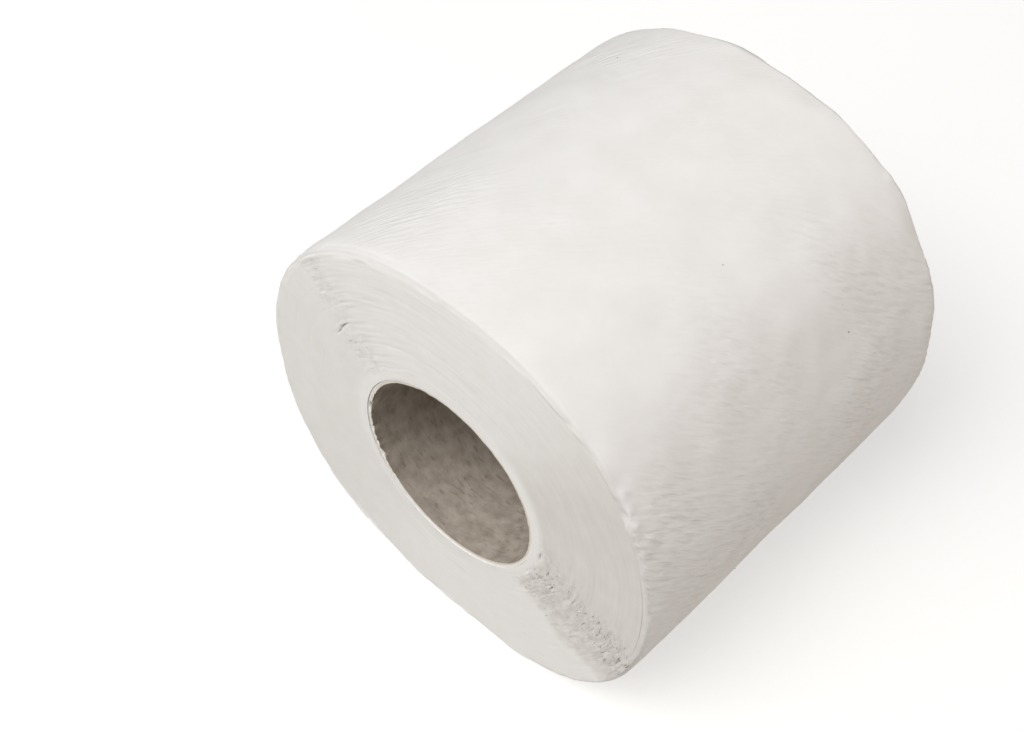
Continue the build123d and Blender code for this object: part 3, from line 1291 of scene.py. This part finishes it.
def flakes_tree() -> bpy.types.NodeTree:
    """Builds the geometry tree that strews torn flakes over an end, long way along the turns.

    Returns:
        The tree. Its geometry input is an end's turns, with how thick the flakes lie kept as "frayed".
    """
    sizes = {"Density": "Float", "Smallest": "Vector", "Largest": "Vector", "Tilt": "Float"}
    rest = {"Axis height": "Float", "Seed": "Int", "Finish": "Material"}
    tree, given = started_tree("torn_flakes", {**sizes, **rest})
    add = partial(wire, tree)
    tilt, seed = given["Tilt"], given["Seed"]

    # Flakes lie only on faces that look along the roll.
    frayed = add("GeometryNodeInputNamedAttribute", {"Name": "frayed"}, data_type="FLOAT")
    facing = add("ShaderNodeSeparateXYZ", {0: add("GeometryNodeInputNormal")}, "Y")
    turned = add("ShaderNodeMath", {0: facing}, operation="ABSOLUTE")
    on_end = add("ShaderNodeMath", {0: turned, 1: 0.5}, operation="GREATER_THAN")
    thick = add("ShaderNodeMath", {0: frayed, 1: on_end}, operation="MULTIPLY")
    density = add("ShaderNodeMath", {0: thick, 1: given["Density"]}, operation="MULTIPLY")
    strewn = {"Mesh": given["Geometry"], "Density": density, "Seed": seed}
    spots = add("GeometryNodeDistributePointsOnFaces", strewn, distribute_method="RANDOM")

    axis = add("ShaderNodeCombineXYZ", {2: given["Axis height"]})
    position = add("GeometryNodeInputPosition")
    arm = add("ShaderNodeVectorMath", {0: position, 1: axis}, operation="SUBTRACT")
    along = add("ShaderNodeVectorMath", {0: arm, 1: (0.0, 1.0, 0.0)}, operation="CROSS_PRODUCT")
    laid = add("FunctionNodeAlignRotationToVector", {"Vector": along}, axis="X")
    low = add("ShaderNodeVectorMath", {0: (-1.0, -1.0, -1.0), "Scale": tilt}, operation="SCALE")
    high = add("ShaderNodeVectorMath", {0: (1.0, 1.0, 1.0), "Scale": tilt}, operation="SCALE")
    lean = add("FunctionNodeRandomValue", {0: low, 1: high, "Seed": seed}, data_type="FLOAT_VECTOR")
    turn = {"Rotation": laid, "Rotate By": add("FunctionNodeEulerToRotation", {0: lean})}
    leaned = add("FunctionNodeRotateRotation", turn, rotation_space="LOCAL")
    sides = {0: given["Smallest"], 1: given["Largest"], "Seed": seed, "ID": add("GeometryNodeInputIndex")}
    size = add("FunctionNodeRandomValue", sides, data_type="FLOAT_VECTOR")
    flake = add("GeometryNodeMeshIcoSphere", {"Radius": 0.5, "Subdivisions": 1})
    flakes = {"Points": spots, "Instance": flake, "Rotation": leaned, "Scale": size}
    finish_tree(add, add("GeometryNodeInstanceOnPoints", flakes), given["Finish"])
    return tree


@dataclass
class EndTurns:
    """The turns of paper that show on one end, sawn through and partly torn."""

    outline: Outline
    face: SawnFace
    columns: int
    loose_gap: float
    rows: int = 130
    rows_per_turn: int = 4
    core_gap: float = 0.06
    overlap: float = 0.05
    back: float = 0.0
    loose_angle: float = 2.0
    loose_reach: float = 24.0
    flake_density: float = 1.3
    flake_smallest: Triple = (0.3, 0.08, 0.08)
    flake_largest: Triple = (0.8, 0.15, 0.16)
    flake_tilt: float = 14.0

    def ring(self) -> bpy.types.Object:
        """The inside of the outermost wrap as a ring of points, drawn in where loose sheets stand off.

        Returns:
            An object of points alone.
        """
        line = self.outline
        angles = line.angles(self.columns)
        gap = np.clip(1.0 - (angle_gap(angles, self.loose_angle) / self.loose_reach) ** 2, 0.0, 1.0)
        radius = line.inside(self.columns) + self.overlap - self.loose_gap * gap
        x, z = radius * np.cos(np.radians(angles)), radius * np.sin(np.radians(angles))
        points = np.stack([x, 0 * radius, line.axis_height + z], axis=-1)
        return new_piece(f"turns_{self.face.end.name.lower()}", points, NO_FACES)

    def build(self, tree: bpy.types.NodeTree, finish: bpy.types.Material) -> bpy.types.Object:
        """Builds and dresses the turns.

        Args:
            tree: The geometry tree that winds turns.
            finish: The sawn ends' material.

        Returns:
            The finished piece.
        """
        line, facing = self.outline, self.face.end.value
        piece = self.ring()
        inputs = {
            "Steps round": self.columns,
            "Rows": self.rows,
            "Rows per turn": self.rows_per_turn,
            "Core radius": (line.core_radius + self.core_gap) * MM,
            "Axis height": line.axis_height * MM,
            "Face": facing * line.half_width * MM,
            "Back": facing * self.back * MM,
            "Finish": finish,
        }
        grow(piece, tree, inputs)
        mesh = piece.data
        points = read_points(mesh)
        front = 1.0 - read_values(mesh, "on_back")
        x, z = points[:, 0], points[:, 2] - line.axis_height
        sawn = self.face.relief(x, z)
        points[:, 1] += facing * sawn.lift * front
        write_points(mesh, points)
        # The end's painted shade goes out under the name torn.
        write_values(mesh, {"torn": sawn.torn, "frayed": sawn.frayed * front, "slit": sawn.slit})
        write_places(mesh, "wound", line.wound(x, z))
        close_up(piece)
        return piece

    def flakes(
        self, turns: bpy.types.Object, tree: bpy.types.NodeTree, finish: bpy.types.Material
    ) -> bpy.types.Object:
        """Builds the flakes that the saw left hanging on the torn turns.

        Args:
            turns: The end's finished turns.
            tree: The geometry tree that strews flakes.
            finish: The sawn ends' material.

        Returns:
            The finished piece.
        """
        piece = bpy.data.objects.new(f"flakes_{self.face.end.name.lower()}", turns.data.copy())
        bpy.context.scene.collection.objects.link(piece)
        inputs = {
            "Density": self.flake_density / MM**2,
            "Smallest": [side * MM for side in self.flake_smallest],
            "Largest": [side * MM for side in self.flake_largest],
            "Tilt": math.radians(self.flake_tilt),
            "Axis height": self.outline.axis_height * MM,
            "Seed": self.face.seed,
            "Finish": finish,
        }
        grow(piece, tree, inputs)
        return piece


@dataclass(frozen=True)
class PulpSpecks:
    """Specks of bark in the outer sheet, by angle, place along the roll and size."""

    outline: Outline
    spots: tuple[Triple, ...] = (
        (58.5, -0.2, 0.3),
        (29.1, 18.6, 0.42),
        (12.2, -23.5, 0.34),
        (35.5, 19.0, 0.3),
        (36.3, -33.8, 0.26),
        (118.0, 31.0, 0.3),
        (158.0, 12.0, 0.4),
        (197.0, -27.0, 0.35),
        (221.0, 5.0, 0.3),
        (322.0, 24.0, 0.4),
        (341.0, -14.0, 0.32),
    )
    thickness: float = 0.14
    narrowing: float = 0.7
    height: float = 0.03

    def build(self, finish: bpy.types.Material) -> bpy.types.Object:
        """Builds the specks, each a flat lens half sunk in the paper.

        Args:
            finish: The specks' material.

        Returns:
            The finished piece.
        """
        piece = new_piece("pulp_specks", NO_POINTS, NO_FACES)
        shape = bmesh.new()
        for angle, place, size in self.spots:
            turn = math.radians(angle)
            way = Vector((math.cos(turn), 0.0, math.sin(turn)))
            radius = self.outline.cast(angle) + self.height
            spot = way * radius + Vector((0.0, place, self.outline.axis_height))
            turned = way.to_track_quat("Z", "Y").to_matrix().to_4x4()
            lens = Matrix.Diagonal((size, size * self.narrowing, self.thickness, 1.0))
            lump = Matrix.Scale(MM, 4) @ Matrix.Translation(spot) @ turned @ lens
            bmesh.ops.create_icosphere(shape, subdivisions=2, radius=0.5, matrix=lump)
        shape.to_mesh(piece.data)
        shape.free()
        piece.data.materials.append(finish)
        close_up(piece)
        return piece


@dataclass
class CoreTube:
    """The chipboard tube, with its helical ply seam and sawn rims, the near one ragged at the left."""

    outline: Outline
    ragged: Sector = Sector(187.0, 45.0, 15.0)
    columns: int = 360
    rows: int = 110
    wall: float = 0.9
    recess: float = 0.22
    seam_lead: float = 74.0
    seam_step: float = 0.12
    seam_start: float = -42.0
    rim_length: float = 1.5
    rim_depth: float = 0.13
    rim_reach: float = 0.16
    rag_all_round: float = 0.12
    rag_at_left: float = 1.7
    waviness: float = 0.02
    seed: int = 77

    def build(self, finishes: tuple[bpy.types.Material, bpy.types.Material]) -> bpy.types.Object:
        """Builds and dresses the tube.

        Args:
            finishes: The walls' material and that of the sawn rims.

        Returns:
            The finished piece.
        """
        line = self.outline
        bore, half = line.core_radius - self.wall, line.half_width - self.recess
        bore_rows = np.linspace(-half, half, self.rows)
        wall_steps = np.array([0.35, 0.7, 1.0])
        insets = np.array([*[0.0] * self.rows, *wall_steps, 1.0, *wall_steps[::-1]])[:, None]
        places = np.array([*bore_rows, *[half] * 3, 0.0, *[-half] * 3])[:, None]
        angles = np.arange(self.columns) * 360.0 / self.columns
        gap = angle_gap(angles - (self.seam_start - (places + half) / self.seam_lead * 360.0), 0.0)
        step = self.seam_step * (eased(gap, -1.2, 0.0) * eased(gap, 60.0, 0.0))
        ragged = blurred_noise((2, self.columns), (0.0, 0.9), self.seed)[(places[:, 0] > 0).astype(int)]
        ragged *= self.rag_all_round + self.rag_at_left * self.ragged.share(angles) * (places < 0.0)
        ragged *= eased(np.abs(places), half - self.rim_length, half)
        soft = self.waviness * blurred_noise((len(places), self.columns), (1.5, 2.5), self.seed + 1)
        radius = bore + insets * self.wall
        radius = radius + np.where(insets == 0.0, step + soft - self.rim_depth * ragged, 0.0)
        y = places + self.rim_reach * np.sign(places) * ragged * (insets < 0.5)
        turn = np.radians(angles)
        points = np.stack([radius * np.cos(turn), y, line.axis_height + radius * np.sin(turn)], axis=-1)
        on_rim = np.zeros(len(places), int)
        on_rim[self.rows - 1 : self.rows + 2] = 1
        on_rim[-3:] = 1
        piece = closed_piece("core", points, on_rim, finishes)
        smooth = np.broadcast_arrays(bore * np.cos(turn), places, bore * np.sin(turn))
        write_places(piece.data, "laid", np.stack(smooth, axis=-1))
        write_values(piece.data, {"outward": np.repeat(insets, self.columns)})
        close_up(piece)
        return piece


@dataclass
class Studio:
    """The plain floor, the soft lamps and the camera. The lamps' own lengths are in metres."""

    floor_size: float = 6000.0
    floor_colour: str = "#C3C1BE"
    lamp_distance: float = 1.3
    lamp_aim: float = 0.05
    camera_place: Triple = (142.4, -179.0, 309.6)
    camera_way: Triple = (-0.4436, 0.4731, -0.7612)
    lens: float = 57.3

    def floor(self) -> None:
        """A pale floor that the camera sees as white, with the roll's shadow on it."""
        half = self.floor_size / 2
        corners = np.array([(-half, -half, 0), (half, -half, 0), (half, half, 0), (-half, half, 0)])
        plane = new_piece("floor", corners, np.array([[0, 1, 2, 3]]))
        made = bpy.data.materials.new("pale_floor")
        made.use_nodes = True
        made.node_tree.nodes.clear()
        add = partial(wire, made.node_tree)
        seen = add("ShaderNodeLightPath", output="Is Camera Ray")
        matt = add("ShaderNodeBsdfDiffuse", {"Color": self.floor_colour})
        place = add("ShaderNodeTexCoord", output="Object")
        away = add("ShaderNodeVectorMath", {0: place}, "Value", operation="LENGTH")
        level = add("ShaderNodeMapRange", {0: away, 1: 0.3, 2: 1.2, 3: 0.55, 4: 1.0})
        glow = add("ShaderNodeEmission", {"Color": "#FFFFFF", "Strength": level})
        shown = add("ShaderNodeAddShader", {0: matt, 1: glow})
        mixed = add("ShaderNodeMixShader", {0: seen, 1: matt, 2: shown})
        add("ShaderNodeOutputMaterial", {"Surface": mixed})
        plane.data.materials.append(made)

    def lamp(
        self, name: str, azimuth: float, elevation: float, size: float, level: float, colour: str
    ) -> None:
        """Adds a round soft lamp that faces the roll.

        Args:
            name: The lamp's name.
            azimuth: Its direction from +X, turning to +Y.
            elevation: Its height above the floor.
            size: Its width in metres.
            level: The light that it brings to a face turned to it, where 1 shows a colour as written.
            colour: Its colour.
        """
        turn, rise = math.radians(azimuth), math.radians(elevation)
        way = Vector((math.cos(rise) * math.cos(turn), math.cos(rise) * math.sin(turn), math.sin(rise)))
        light = bpy.data.lights.new(name, "AREA")
        light.shape = "DISK"
        light.size = size
        light.color = linear(colour)[:3]
        light.energy = level * math.pi**2 * self.lamp_distance**2
        lamp = bpy.data.objects.new(name, light)
        lamp.location = way * self.lamp_distance + Vector((0.0, 0.0, self.lamp_aim))
        lamp.rotation_euler = (-way).to_track_quat("-Z", "Y").to_euler()
        bpy.context.scene.collection.objects.link(lamp)

    def world(self) -> None:
        """A soft even sky that the camera sees as white."""
        world = bpy.data.worlds.new("studio")
        bpy.context.scene.world = world
        world.use_nodes = True
        world.node_tree.nodes.clear()
        add = partial(wire, world.node_tree)
        seen = add("ShaderNodeLightPath", output="Is Camera Ray")
        level = add("ShaderNodeMapRange", {0: seen, 1: 0.0, 2: 1.0, 3: 0.2, 4: 1.0})
        sky = add("ShaderNodeBackground", {"Color": "#FFFFFF", "Strength": level})
        add("ShaderNodeOutputWorld", {"Surface": sky})

    def camera(self) -> None:
        """The camera, where the roll looks as it does in the photograph."""
        made = bpy.data.cameras.new("camera")
        made.lens = self.lens
        made.clip_start = 0.01
        camera = bpy.data.objects.new("camera", made)
        camera.location = Vector(self.camera_place) * MM
        camera.rotation_euler = Vector(self.camera_way).to_track_quat("-Z", "Y").to_euler()
        bpy.context.scene.collection.objects.link(camera)
        bpy.context.scene.camera = camera

    def build(self) -> None:
        """Sets up the whole studio."""
        self.floor()
        self.lamp("high_lamp", 270.0, 62.0, 0.8, 0.50, "#FFFFFF")
        self.lamp("left_lamp", 225.0, 45.0, 0.75, 0.23, "#FFFFFF")
        self.lamp("front_lamp", 265.0, 42.0, 0.75, 0.22, "#FFFFFF")
        self.lamp("right_lamp", 20.0, 18.0, 0.8, 0.25, "#FFF4EA")
        self.world()
        self.camera()
        bpy.context.scene.view_settings.view_transform = "Standard"
        report.info("studio: floor, four lamps and a camera")


def main() -> None:
    """Builds the roll and the studio in order."""
    logging.basicConfig(level=logging.INFO, format="%(name)s %(message)s")
    side, cut = TissueSide().material(), TissueCut().material()
    boards = Chipboard().material(), ChipboardCut().material()
    outline = Outline()
    near_slits = (
        Slit(36.2, 140.8, 8.0, 0.4, -0.14),
        Slit(25.4, -7.6, 3.4, 0.35),
        Slit(28.3, -15.2, 3.0, 0.35),
        Slit(36.0, -8.0, 6.0, 0.07),
        Slit(40.5, -14.0, 5.0, 0.07),
    )
    far_slits = (Slit(33.0, 120.0, 5.0, 0.5),)
    near = SawnFace(outline, End.NEAR, SawArc(), near_slits, seed=11)
    far = SawnFace(outline, End.FAR, SawArc(centre=(112.0, 155.0), width=13.0), far_slits, seed=23)
    settle(CoreTube(outline).build(boards), CORE)
    settle(OuterSheets(outline, (near, far)).build((side, cut)), WINDING)
    settle(PulpSpecks(outline).build(BarkSpeck().material()), WINDING)
    winding, strewing = turns_tree(), flakes_tree()
    for end in (EndTurns(outline, near, 640, 0.13), EndTurns(outline, far, 460, 0.0)):
        turns = end.build(winding, cut)
        settle(turns, WINDING)
        settle(end.flakes(turns, strewing, cut), WINDING)
    Studio().build()


if __name__ == "__main__":
    main()
